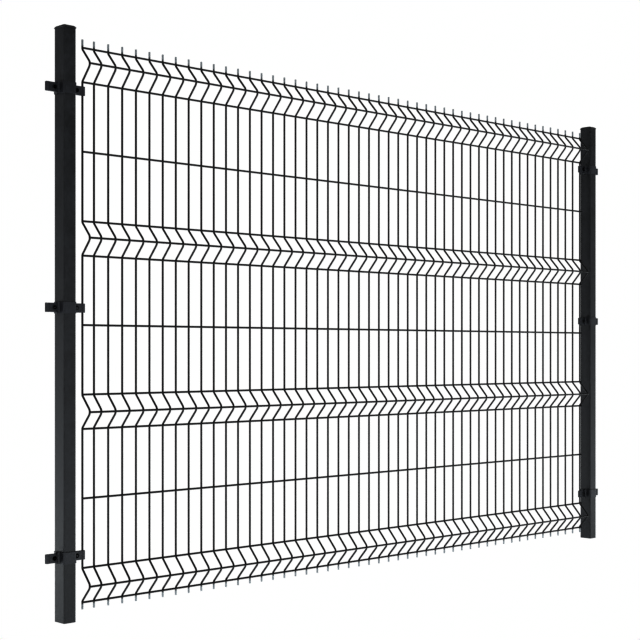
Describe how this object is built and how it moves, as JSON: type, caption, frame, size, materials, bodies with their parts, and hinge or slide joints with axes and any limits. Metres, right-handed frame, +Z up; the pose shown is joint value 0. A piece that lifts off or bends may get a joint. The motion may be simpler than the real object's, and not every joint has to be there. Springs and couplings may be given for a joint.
{
  "type": "welded mesh fence bay",
  "caption": "Black welded wire mesh fence bay with V-shaped folds, clamped between two capped rectangular posts.",
  "frame": {"origin": "middle of the left post's foot", "axes": "+X along the fence from the left post to the right post, -Y to the side that the folds point to, +Z up"},
  "size_m": [2.687, 0.0748, 1.7],
  "materials": {
    "post_powder_coat": "satin",
    "wire_powder_coat": "satin",
    "clamp_powder_coat": "satin",
    "bolt_coat": "satin",
    "cap_plastic": "matte"
  },
  "bodies": {
    "root": {"left_low_clamp_back": "clamp_powder_coat", "left_low_clamp_bolts": "bolt_coat", "left_low_clamp_front": "clamp_powder_coat", "left_middle_clamp_back": "clamp_powder_coat", "left_middle_clamp_bolts": "bolt_coat", "left_middle_clamp_front": "clamp_powder_coat", "left_post": "post_powder_coat", "left_post_cap": "cap_plastic", "left_top_clamp_back": "clamp_powder_coat", "left_top_clamp_bolts": "bolt_coat", "left_top_clamp_front": "clamp_powder_coat", "mesh_left_half": "wire_powder_coat", "mesh_right_half": "wire_powder_coat", "right_low_clamp_back": "clamp_powder_coat", "right_low_clamp_bolts": "bolt_coat", "right_low_clamp_front": "clamp_powder_coat", "right_middle_clamp_back": "clamp_powder_coat", "right_middle_clamp_bolts": "bolt_coat", "right_middle_clamp_front": "clamp_powder_coat", "right_post": "post_powder_coat", "right_post_cap": "cap_plastic", "right_top_clamp_back": "clamp_powder_coat", "right_top_clamp_bolts": "bolt_coat", "right_top_clamp_front": "clamp_powder_coat"}
  },
  "joints": []
}
